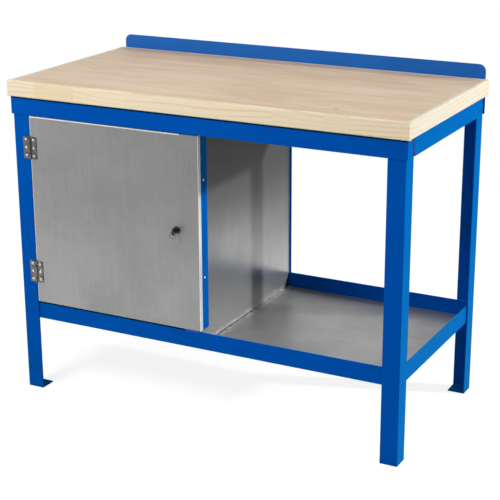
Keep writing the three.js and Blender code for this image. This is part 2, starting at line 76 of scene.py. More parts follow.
# Lamps: place, width and power, all of them turned to one point
LAMPS = {
    "front_softbox": {"place": (-0.8, -2.35, 2.65), "size": 0.9, "power": 56},
    "right_softbox": {"place": (5.85, 2.09, 2.32), "size": 0.24, "power": 376},
    "top_softbox": {"place": (1.1, -0.3, 3.4), "size": 2.2, "power": 20},
    "fill_softbox": {"place": (-2.6, -3.6, 1.0), "size": 2.2, "power": 46},
}
LAMP_AIM = Vector((0, 0, 0.55))

# Dark studio flags: middle, turns from level about X, Y and Z, width and height, brightness
UPRIGHT = math.pi / 2
FLAGS = {
    "flag_right": {"place": (2.4, 1.5, 0.75), "held": (UPRIGHT, 0, 0), "size": (3.6, 1.5), "tone": 0.05},
    "flag_left": {"place": (-1.1, -1.7, 0.6), "held": (UPRIGHT, 0, 0.4), "size": (2.4, 1.2), "tone": 0.2},
    "flag_floor": {"place": (1.365, 2.6, 0.02), "held": (0, 0, 0.19), "size": (1.42, 3.2), "tone": 0.12},
}

# Colours, linear
BLUE = (0.0, 0.058, 0.36)
BLUE_WORN = (0.0, 0.066, 0.39)
# Painted shadow along the front rails' top edges
BLUE_SHADOW = (0.0, 0.006, 0.03)
# A lighter copy of the blue, painted light: the upstand's paint, and the welds' second tone
BLUE_LIT = (0.002, 0.105, 0.43)
BLUE_LIT_WORN = (0.004, 0.115, 0.46)
ZINC = (0.345, 0.345, 0.342)
ZINC_DULL = (0.265, 0.265, 0.262)
# A lighter copy of the zinc, painted light, for the cupboard's side
ZINC_LIT = (0.40, 0.40, 0.397)
ZINC_LIT_DULL = (0.31, 0.31, 0.307)
# Painted highlight on the door's bends and right return
ZINC_HIGHLIGHT = (0.88, 0.88, 0.87)
# Painted reflection of the bright floor, at the foot of the cupboard's side
ZINC_FLOOR_REFLECTION = (0.62, 0.62, 0.61)
ZINC_SCUFF = (0.66, 0.66, 0.65)
# Painted shade, at the top and back of the cupboard's side
ZINC_PAINTED_SHADE = (0.12, 0.12, 0.119)
# A dark line along the foot of the cupboard's side
ZINC_FOOT_LINE = (0.03, 0.03, 0.03)
PINE_PALE = (0.745, 0.645, 0.48)
PINE_BAND = (0.66, 0.475, 0.25)
PINE_END = (0.66, 0.635, 0.55)
PINE_CURL = (0.62, 0.51, 0.36)
PLY_PALE = (0.645, 0.505, 0.36)
PLY_WARM = (0.525, 0.375, 0.25)
KNOT = (0.12, 0.075, 0.045)
CORE_PALE = (0.60, 0.44, 0.27)
CORE_DARK = (0.42, 0.28, 0.15)
PLATE = (0.80, 0.79, 0.77)
PLATE_DULL = (0.50, 0.49, 0.47)
HINGE_STEEL = (0.23, 0.225, 0.22)
HINGE_GRIME = (0.085, 0.083, 0.08)
KEY_STEEL = (0.075, 0.075, 0.08)
KEY_RUBBED = (0.26, 0.25, 0.24)

# The range that most values of noise lie in
NOISE_RANGE = (0.3, 0.7)

# Blue paint: its noise, the relief's strength and depth, gloss, and the bloom seen at low angles
PAINT_CLOUDS = {"scale": 5.0}
PAINT_PEEL = {"scale": 900.0, "detail": 2.0}
PEEL_RELIEF = (0.12, 0.0004)
PAINT_TONE_RANGE = (0.35, 0.7)
PAINT_ROUGHNESS = (0.40, 0.50)
FRAME_GLOSS = 0.004
UPSTAND_GLOSS = 0.2
WELD_GLOSS = 0.6
BLOOM = 0.43
NO_BLOOM = 0.0
BLOOM_SPREAD = 0.5
BLOOM_TINT = (0.0, 0.95, 1.0, 1.0)

# Painted shadow on the front rails, along the edge below the top and below the door: its width
TOP_JOINT = 0.0065
DOOR_JOINT = 0.0036

# Zinc sheet: its noise, how much of each kind shows in tone and relief, metal and roughness
ZINC_STREAKS = {"detail": 6.0, "roughness": 0.65}
ZINC_CLOUDS = {"scale": 6.0, "detail": 5.0, "roughness": 0.6}
ZINC_GRAIN = {"scale": 420.0, "detail": 3.0, "roughness": 0.7}
UPRIGHT_STREAKS = (300.0, 300.0, 5.0)
FLAT_STREAKS = (5.0, 320.0, 320.0)
ZINC_SHARES = (0.24, 0.42, 0.34)
ZINC_RELIEF_SHARES = (0.3, 0.7)
ZINC_RELIEF = (0.06, 0.0002)
ZINC_TONE_RANGE = (0.38, 0.64)
ZINC_GLOSS = 0.3
DOOR_METAL = 0.5
SIDE_METAL = 0.78
SHELF_METAL = 0.7
UPRIGHT_ROUGHNESS = (0.27, 0.37)
SHELF_ROUGHNESS = (0.36, 0.46)

# Painted highlights on the door's bends and right return: the width of its bright edges, and where the top
# one is fully bright
HIGHLIGHT_WIDTH = 0.0016
TOP_HIGHLIGHT_WIDTH = 0.0042
TOP_HIGHLIGHT_FULL = TOP_HIGHLIGHT_WIDTH * 0.7

# The cupboard's side: how far its tones reach, in height or along Y, and how strong they get: a painted
# reflection of the floor at its foot, painted shade at its top and back, a dark line along its foot
PALE_REACH = 0.24
PALE_SHARE = (0.0, 0.8)
TOP_PAINTED_SHADE = (0.0, 0.6)
BACK_REACH = (-0.1, 0.25)
BACK_PAINTED_SHADE = (0.0, 0.22)
FOOT_LINE_HEIGHT = 0.0026
FOOT_LINE_FADE = (0.16, -0.02)

# Scuffs where the cupboard's side stands on the shelf
SCUFF_REACH = 0.024
SCUFF_FLECKS = {"scale": 130.0, "roughness": 0.75}
SCUFF_RANGE = (0.44, 0.60)
SCUFF_SHARE = (0.0, 0.85)
SCRATCHED_METAL = 0.2

# Front lipping: where its lengths of timber are joined, along X, and how strongly a joint shows
PINE_JOINTS = (-0.510, -0.377, 0.228, 0.373, 0.440)
JOINT_HALF_WIDTH = 0.0006
JOINT_SHARE = (0.5, 0.0)

# Seam of the short strip between the last two joints: its height and how strongly it shows
SEAM_HEIGHT = 0.9035
SEAM_SHARE = (0.4, 0.0)

# What changes at each of these joints: the rings' place, the tone and how strongly the rings show
JOINT_TURNS = (9.7, 7.6, 8.9, 5.1, 11.7)
JOINT_TONES = (0.34, -0.34, 0.05, 0.08, -0.10)
JOINT_RINGS = (-0.7, 0.7, 0.0, -0.4, 0.4)

# Growth rings: their count over the height, how far they wander, and the stretch along the grain
RINGS_PER_METRE = 75.0
WANDER_RINGS = 5.0
WANDER_STRETCH = {"X": (1.7, 9.0, 9.0), "Y": (9.0, 1.7, 9.0)}
RING_WANDER = {"detail": 1.5, "roughness": 0.45}
RING_PATCHES = {"scale": 2.3, "detail": 2.0}
RING_SHARE = (0.2, 0.8)
LATE_WOOD_START = (0.50, 0.90)
LATE_WOOD_END = (1.0, 0.92)

# Fibres and curls of the pine
FIBRE_STRETCH = {"X": (26.0, 480.0, 480.0), "Y": (480.0, 26.0, 480.0)}
PINE_FIBRES = {"detail": 5.0, "roughness": 0.7}
FIBRE_RANGE = (0.35, 0.75)
FIBRE_SHARE = (0.0, 0.2)
FIBRE_RELIEF = (0.15, 0.0003)
PINE_SWIRL = {"scale": 22.0, "detail": 1.5, "roughness": 0.5, "distortion": 0.8}
CURL_LINES = 7.0
CURL_START = (0.35, 0.5)
CURL_END = (0.7, 0.5)
CURL_SHARE = 0.6
PINE_FINISH = {"Roughness": 0.55, "Specular IOR Level": 0.25}

# Ply face: its noise, and how much of each kind shows
PLY_PATCHES = {"stretch": (2.0, 9.0, 1.0), "roughness": 0.6, "distortion": 1.2}
PLY_FIGURE = {"stretch": (3.5, 55.0, 1.0), "detail": 5.0, "roughness": 0.6, "distortion": 0.8}
PLY_PORES = {"stretch": (45.0, 900.0, 1.0), "detail": 3.0, "roughness": 0.6}
PLY_SHARES = (0.65, 0.35)
PLY_TONE_RANGE = (0.34, 0.64)
PORE_RANGE = (0.62, 0.78)
PORE_SHARE = (0.0, 0.35)
PORE_RELIEF = (0.08, 0.0003)
PLY_FINISH = {"Roughness": 0.5, "Specular IOR Level": 0.35}

# Knots in the ply face: place on the top and radius, then the reach and strength of halo and heart
KNOTS = (((-0.468, -0.048), 0.004), ((-0.445, 0.195), 0.003), ((0.375, -0.227), 0.006))
HALO_RADII = (1.2, 5.0)
HALO_SHARE = (0.35, 0.0)
HEART_RADII = (0.4, 1.0)
HEART_SHARE = (0.85, 0.0)

# Core board
CORE_CHIPS = {"stretch": (30.0, 140.0, 140.0), "detail": 5.0, "roughness": 0.65}
CHIP_RELIEF = (0.3, 0.0005)
CORE_FINISH = {"Roughness": 0.7}

# Steels: two tones, the noise that mixes them, relief, and roughness
STEEL_RANGE = (0.3, 0.8)
BRIGHT_STEEL = {
    "tones": (PLATE, PLATE_DULL),
    "marks": {"scale": 260.0},
    "tone_range": (0.4, 0.75),
    "roughness": (0.2, 0.42),
    "relief": (0.12, 0.0003),
}
DULL_STEEL = {
    "tones": (HINGE_STEEL, HINGE_GRIME),
    "marks": {"scale": 150.0},
    "tone_range": (0.38, 0.68),
    "roughness": (0.28, 0.5),
    "relief": (0.15, 0.0004),
}
DARK_STEEL = {
    "tones": (KEY_STEEL, KEY_RUBBED),
    "marks": {"scale": 420.0},
    "tone_range": (0.5, 0.8),
    "roughness": (0.25, 0.45),
}

# Rounded edges: their widths and segments, and the angle from which an edge counts as sharp
ANGLE_ROUND = 0.0009
SHEET_ROUND = 0.0004
DOOR_ROUND = 0.0022
TIMBER_ROUND = 0.0008
SMALL_ROUND = 0.0003
NO_ROUND = 0.0
EDGE_SEGMENTS = 2
DOOR_SEGMENTS = 4
SMOOTH_LIMIT = math.radians(32)
MERGE_DISTANCE = 0.00001

# Door bends: edges this near the front are bent, apart from those this near the lock
FRONT_BAND = 0.0002
LOCK_CLEARANCE = 0.03

# Weld beads: section, ripples, unevenness and how they thin out towards their ends
WELD_RADIUS = 0.0022
WELD_SIDES = 10
WELD_RIPPLE = 0.0021
RINGS_PER_RIPPLE = 4
FEWEST_RINGS = 8
RIPPLE_SWELL = 0.16
WELD_LUMPS = 180.0
LUMP_SWELL = 0.30
WELD_TIP = 0.25
WELD_TAPER = WELD_RADIUS * 1.6

# Where the weld beads lie: how far in from the pieces' faces and ends
ANGLE_WALL = 0.004
TOP_WELD_INSET = 0.0036
TOP_WELD_FOOT = 0.003
TOP_WELD_HEAD = 0.004
LOWER_WELD_INSET = 0.007
STILE_WELD_LEFT = 0.002
STILE_WELD_RIGHT = 0.003
STILE_WELD_SINK = 0.001
FOOT_WELD_INSET = 0.006

# Screw and rivet heads: height, dome, shank and recess, some of them as shares of the head's radius
SCREW_RISE = 0.0013
RIVET_RISE = 0.0012
HEAD_RINGS = 14
HEAD_SIDES = 64
DOME_SHARE = 0.96
DOME_POWER = 2.6
SHANK_SHARE = 0.5
SLOT_HALF_WIDTH = 0.00042
SLOT_REACH = 0.72
SLOT_DEPTH = 0.0008
SLOT_SLOPE = 0.6
DIMPLE_SHARE = 0.32


class Graph:
    """The node tree of one material, with a short call for each kind of node it uses."""

    def __init__(self, name):
        self.material = bpy.data.materials.new(name)
        self.material.use_nodes = True
        self.tree = self.material.node_tree
        self.shader = self.tree.nodes["Principled BSDF"]
        self.place = self.tree.nodes.new("ShaderNodeTexCoord").outputs["Object"]

    def feed(self, node, values):
        """Links sockets into a node's inputs, and writes plain values to them."""
        for socket, value in values.items():
            if isinstance(value, bpy.types.NodeSocket):
                self.tree.links.new(value, node.inputs[socket])
            elif isinstance(value, float) and node.inputs[socket].type == "VECTOR":
                node.inputs[socket].default_value = (value, value, value)
            else:
                node.inputs[socket].default_value = value
        return node

    def stretched(self, scale):
        node = self.tree.nodes.new("ShaderNodeMapping")
        self.feed(node, {"Vector": self.place, "Scale": scale})
        return node.outputs["Vector"]

    def shifted(self, vector, amount):
        node = self.tree.nodes.new("ShaderNodeVectorMath")
        node.operation = "ADD"
        self.feed(node, {0: vector, 1: amount})
        return node.outputs["Vector"]

    def noise(self, scale=1.0, stretch=None, shift=None, detail=4.0, roughness=0.55, distortion=0.0):
        """Noise with its count per metre as scale, stretched along each axis and shifted where asked."""
        vector = self.stretched(stretch) if stretch else self.place
        if shift is not None:
            vector = self.shifted(vector, shift)
        node = self.tree.nodes.new("ShaderNodeTexNoise")
        self.feed(node, {"Vector": vector, "Scale": scale, "Detail": detail,
                         "Roughness": roughness, "Distortion": distortion})
        return node.outputs["Fac"]

    def blend(self, values, shares):
        """A sum of values, each with its share."""
        total = 0.0
        for value, share in zip(values, shares):
            total = self.math("ADD", self.math("MULTIPLY", value, share), total)
        return total

    def math(self, operation, first, second=0.0):
        node = self.tree.nodes.new("ShaderNodeMath")
        node.operation = operation
        self.feed(node, {0: first, 1: second})
        return node.outputs[0]

    def span(self, value, source, target=(0.0, 1.0)):
        """A value carried over from one range to another, with soft ends."""
        node = self.tree.nodes.new("ShaderNodeMapRange")
        node.interpolation_type = "SMOOTHSTEP"
        self.feed(node, {"Value": value, "From Min": source[0], "From Max": source[1],
                         "To Min": target[0], "To Max": target[1]})
        return node.outputs["Result"]

    def steps(self, value, places, changes, start):
        """A value that changes by a step at each place along another value."""
        total = start
        for place, change in zip(places, changes):
            past = self.math("GREATER_THAN", value, place)
            total = self.math("ADD", self.math("MULTIPLY", past, change), total)
        return total

    def gap(self, value, place):
        """How far a value is from a place, on either side."""
        return self.math("ABSOLUTE", self.math("SUBTRACT", value, place))

    def mix(self, share, first, second):
        node = self.tree.nodes.new("ShaderNodeMix")
        node.data_type = "RGBA"
        first = first if isinstance(first, bpy.types.NodeSocket) else (*first, 1.0)
        second = second if isinstance(second, bpy.types.NodeSocket) else (*second, 1.0)
        self.feed(node, {0: share, 6: first, 7: second})
        return node.outputs[2]

    def axis(self, name):
        node = self.tree.nodes.new("ShaderNodeSeparateXYZ")
        self.feed(node, {0: self.place})
        return node.outputs[name]

    def distance_to(self, point):
        node = self.tree.nodes.new("ShaderNodeVectorMath")
        node.operation = "DISTANCE"
        self.feed(node, {0: self.place, 1: point})
        return node.outputs["Value"]

    def bump(self, height, strength, depth):
        node = self.tree.nodes.new("ShaderNodeBump")
        self.feed(node, {"Height": height, "Strength": strength, "Distance": depth})
        self.set({"Normal": node.outputs["Normal"]})

    def set(self, values):
        """Feeds the shader, and gives the material."""
        self.feed(self.shader, values)
        return self.material


def blue_paint(name, tones, gloss, bloom, painted_light_and_wear=None):
    """Satin powder coat: a fine orange peel, slow changes of tone, and a bloom at low angles."""
    graph = Graph(name)
    clouds = graph.noise(**PAINT_CLOUDS)
    graph.bump(graph.noise(**PAINT_PEEL), *PEEL_RELIEF)
    colour = graph.mix(graph.span(clouds, PAINT_TONE_RANGE), *tones)
    # Painted shadow along the front rails' top edges comes in here
    if painted_light_and_wear:
        colour = painted_light_and_wear(graph, colour)
    return graph.set({
        "Base Color": colour,
        "Roughness": graph.span(clouds, NOISE_RANGE, PAINT_ROUGHNESS),
        "Specular IOR Level": gloss,
        "Sheen Weight": bloom,
        "Sheen Roughness": BLOOM_SPREAD,
        "Sheen Tint": BLOOM_TINT,
    })


def rail_painted_shadow(rail, width, end):
    """Painted shadow along a rail's top edge, where it meets what stands over it, up to a place along X.
    """
    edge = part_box(rail)[1].z

    def painted_light_and_wear(graph, colour):
        joint = graph.span(graph.axis("Z"), (edge - width, edge - width / 2))
        joint = graph.math("MULTIPLY", joint, graph.math("LESS_THAN", graph.axis("X"), end))
        return graph.mix(joint, colour, BLUE_SHADOW)

    return painted_light_and_wear


def galvanised(name, tones, stretch, metal, roughness, painted_light_and_wear=None):
    """Zinc-coated sheet: fine grain, clouds, and faint streaks along the rolling direction."""
    graph = Graph(name)
    streaks = graph.noise(stretch=stretch, **ZINC_STREAKS)
    clouds = graph.noise(**ZINC_CLOUDS)
    grain = graph.noise(**ZINC_GRAIN)
    pattern = graph.blend((streaks, clouds, grain), ZINC_SHARES)
    graph.bump(graph.blend((streaks, grain), ZINC_RELIEF_SHARES), *ZINC_RELIEF)
    colour = graph.mix(graph.span(pattern, ZINC_TONE_RANGE), *tones)
    # Painted highlights on the door, painted reflection and shade with scuffs on the cupboard's side, and
    # scuffs on the shelf come in here
    if painted_light_and_wear:
        colour, scratched = painted_light_and_wear(graph, colour)
        metal = graph.span(scratched, (0.0, 1.0), (metal, SCRATCHED_METAL)) if scratched else metal
    return graph.set({
        "Base Color": colour,
        "Metallic": metal,
        "Roughness": graph.span(pattern, NOISE_RANGE, roughness),
        "Specular IOR Level": ZINC_GLOSS,
    })


def door_highlights(graph, colour):
    """Painted highlights on the door's bends and right return, standing in for the light they catch. It
    has no scuffs.
    """
    low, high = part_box("door_panel")
    across = graph.axis("X")
    right = graph.span(across, (high.x - HIGHLIGHT_WIDTH, high.x - HIGHLIGHT_WIDTH / 2))
    left = graph.span(across, (low.x + HIGHLIGHT_WIDTH, low.x + HIGHLIGHT_WIDTH / 2))
    top = graph.span(graph.axis("Z"), (high.z - TOP_HIGHLIGHT_WIDTH, high.z - TOP_HIGHLIGHT_FULL))
    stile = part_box("cupboard_stile")[0].x
    beside_stile = graph.span(across, (stile - HIGHLIGHT_WIDTH, stile - 2 * HIGHLIGHT_WIDTH))
    top = graph.math("MULTIPLY", top, beside_stile)
    # Where the painted highlight lies: the bends and the right return
    edge = graph.math("MAXIMUM", graph.math("MAXIMUM", right, top), left)
    return graph.mix(edge, colour, ZINC_HIGHLIGHT), None


def scuffs(graph, near):
    """How strongly light flecks show, the more so the nearer a value is to 1."""
    flecks = graph.span(graph.noise(**SCUFF_FLECKS), SCUFF_RANGE, SCUFF_SHARE)
    return graph.math("MULTIPLY", near, flecks)


def panel_light_and_wear(graph, colour):
    """A side paler at its foot, a painted reflection of the bright floor, and scuffed there; painted shade
    darkens its top and back, and a dark line runs along its foot.
    """
    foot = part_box("cupboard_panel_right")[0].z
    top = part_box("cupboard_panel_right")[1].z
    height = graph.axis("Z")
    backward = graph.axis("Y")
    # Paler towards the foot: a painted reflection of the bright floor
    pale = graph.span(height, (foot + PALE_REACH, foot), PALE_SHARE)
    colour = graph.mix(pale, colour, ZINC_FLOOR_REFLECTION)
    # Darker towards the top, then towards the back: painted shade
    shade = graph.span(height, (foot + PALE_REACH, top - PALE_REACH), TOP_PAINTED_SHADE)
    colour = graph.mix(shade, colour, ZINC_PAINTED_SHADE)
    colour = graph.mix(graph.span(backward, BACK_REACH, BACK_PAINTED_SHADE), colour, ZINC_PAINTED_SHADE)
    flecks = scuffs(graph, graph.span(height, (foot + SCUFF_REACH, foot)))
    colour = graph.mix(flecks, colour, ZINC_SCUFF)
    # A dark line along the foot, fading towards the back
    joint = graph.span(height, (foot + FOOT_LINE_HEIGHT, foot + FOOT_LINE_HEIGHT / 2))
    joint = graph.math("MULTIPLY", joint, graph.span(backward, FOOT_LINE_FADE))
    return graph.mix(joint, colour, ZINC_FOOT_LINE), flecks


def shelf_wear(graph, colour):
    """Scuffs on the shelf beside the cupboard's side."""
    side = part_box("cupboard_panel_right")[1].x
    flecks = scuffs(graph, graph.span(graph.axis("X"), (side + SCUFF_REACH, side)))
    return graph.mix(flecks, colour, ZINC_SCUFF), flecks


def softwood(graph, along, pale, joints):
    """Growth rings that wander along the grain, changing at each joint between two lengths."""
    lengthwise = graph.axis(along)
    turn = graph.steps(lengthwise, joints, JOINT_TURNS, 0.0)
    drawn = {"stretch": WANDER_STRETCH[along], "shift": turn}
    wander = graph.math("MULTIPLY", graph.noise(**drawn, **RING_WANDER), WANDER_RINGS)
    height = graph.math("MULTIPLY", graph.axis("Z"), RINGS_PER_METRE)
    rings = graph.math("FRACT", graph.math("ADD", height, wander))
    late = graph.math("MULTIPLY", graph.span(rings, LATE_WOOD_START), graph.span(rings, LATE_WOOD_END))
    strength = graph.span(graph.noise(**drawn, **RING_PATCHES), NOISE_RANGE, RING_SHARE)
    strength = graph.math("MULTIPLY", strength, graph.steps(lengthwise, joints, JOINT_RINGS, 1.0))
    fibres = graph.noise(stretch=FIBRE_STRETCH[along], **PINE_FIBRES)
    colour = graph.mix(graph.math("MULTIPLY", late, strength), pale, PINE_BAND)
    colour = graph.mix(graph.span(fibres, FIBRE_RANGE, FIBRE_SHARE), colour, PINE_BAND)
    colour = graph.mix(graph.steps(lengthwise, joints, JOINT_TONES, 0.0), colour, PINE_BAND)
    for joint in joints:
        line = graph.span(graph.gap(lengthwise, joint), (0.0, JOINT_HALF_WIDTH), JOINT_SHARE)
        colour = graph.mix(line, colour, PINE_BAND)
    graph.bump(fibres, *FIBRE_RELIEF)
    return colour


def pine_long():
    """Softwood edging in lengths that are joined end to end, with one short glued-in strip."""
    graph = Graph("pine_long")
    colour = softwood(graph, "X", PINE_PALE, PINE_JOINTS)
    strip_start, strip_end = PINE_JOINTS[-2:]
    seam = graph.gap(graph.axis("Z"), SEAM_HEIGHT)
    line = graph.span(seam, (0.0, JOINT_HALF_WIDTH), SEAM_SHARE)
    inside = graph.math("GREATER_THAN", graph.axis("X"), strip_start)
    inside = graph.math("MULTIPLY", inside, graph.math("LESS_THAN", graph.axis("X"), strip_end))
    colour = graph.mix(graph.math("MULTIPLY", line, inside), colour, PINE_BAND)
    return graph.set({"Base Color": colour, **PINE_FINISH})


def pine_end():
    """Softwood edging cut across its growth, with a curly figure."""
    graph = Graph("pine_end")
    colour = softwood(graph, "Y", PINE_END, ())
    swirl = graph.noise(**PINE_SWIRL)
    contour = graph.math("FRACT", graph.math("MULTIPLY", swirl, CURL_LINES))
    curl = graph.math("MULTIPLY", graph.span(contour, CURL_START), graph.span(contour, CURL_END))
    colour = graph.mix(graph.math("MULTIPLY", curl, CURL_SHARE), colour, PINE_CURL)
    return graph.set({"Base Color": colour, **PINE_FINISH})


def ply_face():
    """Rotary-cut ply: broad soft patches along the grain, short pores and a few small knots."""
    graph = Graph("ply_face")
    patches = graph.noise(**PLY_PATCHES)
    figure = graph.noise(**PLY_FIGURE)
    pores = graph.noise(**PLY_PORES)
    share = graph.blend((patches, figure), PLY_SHARES)
    colour = graph.mix(graph.span(share, PLY_TONE_RANGE), PLY_PALE, PLY_WARM)
    colour = graph.mix(graph.span(pores, PORE_RANGE, PORE_SHARE), colour, CORE_DARK)
    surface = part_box("worktop_face")[1].z
    for (x, y), radius in KNOTS:
        away = graph.distance_to((x, y, surface))
        halo = graph.span(away, [radius * reach for reach in HALO_RADII], HALO_SHARE)
        colour = graph.mix(halo, colour, PLY_WARM)
        heart = graph.span(away, [radius * reach for reach in HEART_RADII], HEART_SHARE)
        colour = graph.mix(heart, colour, KNOT)
    graph.bump(pores, *PORE_RELIEF)
    return graph.set({"Base Color": colour, **PLY_FINISH})


def core_board():
    """Board with coarse chips, seen only from below."""
    graph = Graph("core_board")
    chips = graph.noise(**CORE_CHIPS)
    colour = graph.mix(graph.span(chips, NOISE_RANGE), CORE_PALE, CORE_DARK)
    graph.bump(chips, *CHIP_RELIEF)
    return graph.set({"Base Color": colour, **CORE_FINISH})


def steel(name, tones, marks, tone_range, roughness, relief=None):
    """Bare or plated steel, in two tones that its marks mix."""
    graph = Graph(name)
    pattern = graph.noise(**marks)
    if relief:
        graph.bump(pattern, *relief)
    return graph.set({
        "Base Color": graph.mix(graph.span(pattern, tone_range), *tones),
        "Metallic": 1.0,
        "Roughness": graph.span(pattern, STEEL_RANGE, roughness),
    })


def new_group(name):
    """A geometry node group with one geometry in and one out, and these two ends."""
    group = bpy.data.node_groups.new(name, "GeometryNodeTree")
    group.interface.new_socket("Geometry", in_out="INPUT", socket_type="NodeSocketGeometry")
    group.interface.new_socket("Geometry", in_out="OUTPUT", socket_type="NodeSocketGeometry")
    entry = group.nodes.new("NodeGroupInput").outputs[0]
    leave = group.nodes.new("NodeGroupOutput").inputs[0]
    return group, entry, leave


def smooth_by_angle():
    """A geometry node group that shades soft across every edge flatter than SMOOTH_LIMIT."""
    group, entry, leave = new_group("smooth_by_angle")
    angle = group.nodes.new("GeometryNodeInputMeshEdgeAngle")
    flat_enough = group.nodes.new("FunctionNodeCompare")
    flat_enough.operation = "LESS_THAN"
    flat_enough.inputs[1].default_value = SMOOTH_LIMIT
    faces = group.nodes.new("GeometryNodeSetShadeSmooth")
    faces.domain = "FACE"
    edges = group.nodes.new("GeometryNodeSetShadeSmooth")
    edges.domain = "EDGE"
    link = group.links.new
    link(entry, faces.inputs["Geometry"])
    link(faces.outputs[0], edges.inputs["Geometry"])
    link(angle.outputs["Unsigned Angle"], flat_enough.inputs[0])
    link(flat_enough.outputs[0], edges.inputs["Shade Smooth"])
    link(edges.outputs[0], leave)
    return group


SMOOTHING = smooth_by_angle()


def door_bends():
    """A geometry node group that marks the edges round the door's front for rounding, as sheet is bent."""
    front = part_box("door_panel")[0].y
    lock_low, lock_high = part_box("lock_body")
    lock = (lock_low + lock_high) / 2
    group, entry, leave = new_group("door_bends")
    link = group.links.new

    def compare(operation, value, limit):
        node = group.nodes.new("FunctionNodeCompare")
        node.operation = operation
        link(value, node.inputs[0])
        node.inputs[1].default_value = limit
        return node.outputs[0]

    def both(first, second):
        node = group.nodes.new("FunctionNodeBooleanMath")
        link(first, node.inputs[0])
        link(second, node.inputs[1])
        return node.outputs[0]

    angle = group.nodes.new("GeometryNodeInputMeshEdgeAngle")
    place = group.nodes.new("GeometryNodeInputPosition")
    split = group.nodes.new("ShaderNodeSeparateXYZ")
    link(place.outputs[0], split.inputs[0])
    away = group.nodes.new("ShaderNodeVectorMath")
    away.operation = "DISTANCE"
    link(place.outputs[0], away.inputs[0])
    away.inputs[1].default_value = (lock.x, front, lock.z)
    sharp = compare("GREATER_THAN", angle.outputs["Unsigned Angle"], SMOOTH_LIMIT)
    on_front = compare("LESS_THAN", split.outputs["Y"], front + FRONT_BAND)
    clear = compare("GREATER_THAN", away.outputs["Value"], LOCK_CLEARANCE)
    store = group.nodes.new("GeometryNodeStoreNamedAttribute")
    store.data_type = "FLOAT"
    store.domain = "EDGE"
    store.inputs["Name"].default_value = "bevel_weight_edge"
    link(entry, store.inputs["Geometry"])
    link(both(both(sharp, on_front), clear), store.inputs["Value"])
    link(store.outputs[0], leave)
    return group


def soften(piece, width, segments=EDGE_SEGMENTS, marks=None):
    """Rounds a piece's sharp edges, or only its marked ones, and shades its round faces soft."""
    merge = piece.modifiers.new("weld", "WELD")
    merge.merge_threshold = MERGE_DISTANCE
    if marks:
        mark = piece.modifiers.new("marks", "NODES")
        mark.node_group = marks
    if width:
        bevel = piece.modifiers.new("round", "BEVEL")
        bevel.width = width
        bevel.segments = segments
        bevel.limit_method = "WEIGHT" if marks else "ANGLE"
        bevel.angle_limit = SMOOTH_LIMIT
        bevel.use_clamp_overlap = True
    shade = piece.modifiers.new("shade", "NODES")
    shade.node_group = SMOOTHING
    if width:
        flat = piece.modifiers.new("flat", "WEIGHTED_NORMAL")
        flat.keep_sharp = True


def dress(names, material, width, segments=EDGE_SEGMENTS, marks=None):
    """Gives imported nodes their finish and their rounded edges."""
    for name in names:
        piece = nodes[name]
        piece.data.materials.clear()
        piece.data.materials.append(material)
        soften(piece, width, segments, marks)


def new_piece(name, mesh_data, material, body):
    """Adds a visible piece that rides on a body."""
    mesh = bpy.data.meshes.new(name)
    mesh_data.to_mesh(mesh)
    mesh_data.free()
    mesh.materials.append(material)
    piece = bpy.data.objects.new(name, mesh)
    bpy.context.scene.collection.objects.link(piece)
    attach(piece, body)
    soften(piece, NO_ROUND)
    return piece


def close_rings(mesh_data, rings):
    """Joins rings of points, all of one count, into a closed skin."""
    count = len(rings[0])
    for first, second in zip(rings, rings[1:]):
        for corner in range(count):
            after = (corner + 1) % count
            mesh_data.faces.new((first[corner], first[after], second[after], second[corner]))
    mesh_data.faces.new(tuple(reversed(rings[0])))
    mesh_data.faces.new(tuple(rings[-1]))
    bmesh.ops.recalc_face_normals(mesh_data, faces=mesh_data.faces)


def weld_bead(name, start, end, material):
    """A painted fillet weld between two points: a thin bar with the ripples of its passes."""
    start = Vector(start)
    end = Vector(end)
    length = (end - start).length
    along = (end - start).normalized()
    side = along.orthogonal().normalized()
    up = along.cross(side)
    bead = bmesh.new()
    count = max(FEWEST_RINGS, round(length / WELD_RIPPLE * RINGS_PER_RIPPLE))
    rings = []
    for index in range(count + 1):
        travel = length * index / count
        centre = start + along * travel
        ripple = 1.0 + RIPPLE_SWELL * abs(math.sin(math.pi * travel / WELD_RIPPLE))
        uneven = 1.0 + LUMP_SWELL * noise.noise(centre * WELD_LUMPS)
        taper = min(1.0, WELD_TIP + min(travel, length - travel) / WELD_TAPER)
        radius = WELD_RADIUS * ripple * uneven * taper
        ring = []
        for corner in range(WELD_SIDES):
            turn = 2 * math.pi * corner / WELD_SIDES
            ring.append(bead.verts.new(centre + (side * math.cos(turn) + up * math.sin(turn)) * radius))
        rings.append(ring)
    close_rings(bead, rings)
    return new_piece(name, bead, material, "bench")


def weld_top_rails(material):
    """Upright beads where the side rails meet the legs."""
    for end in ("left", "right"):
        rail_low, rail_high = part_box(f"top_rail_{end}")
        x = rail_low.x + TOP_WELD_INSET if end == "left" else rail_high.x - TOP_WELD_INSET
        for place, y in (("front", rail_low.y), ("back", rail_high.y)):
            foot = (x, y, rail_low.z + TOP_WELD_FOOT)
            head = (x, y, rail_high.z - TOP_WELD_HEAD)
            weld_bead(f"weld_top_{place}_{end}", foot, head, material)


def weld_lower_rails(material):
    """Level beads where the lower rails meet the legs."""
    for place in ("front", "back"):
        rail_low, rail_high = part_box(f"lower_rail_{place}")
        y = rail_low.y if place == "front" else rail_high.y
        for end in ("left", "right"):
            leg_low, leg_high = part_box(f"leg_{place}_{end}")
            start = (leg_low.x + LOWER_WELD_INSET, y, rail_high.z)
            stop = (leg_high.x - LOWER_WELD_INSET, y, rail_high.z)
            weld_bead(f"weld_lower_{place}_{end}", start, stop, material)


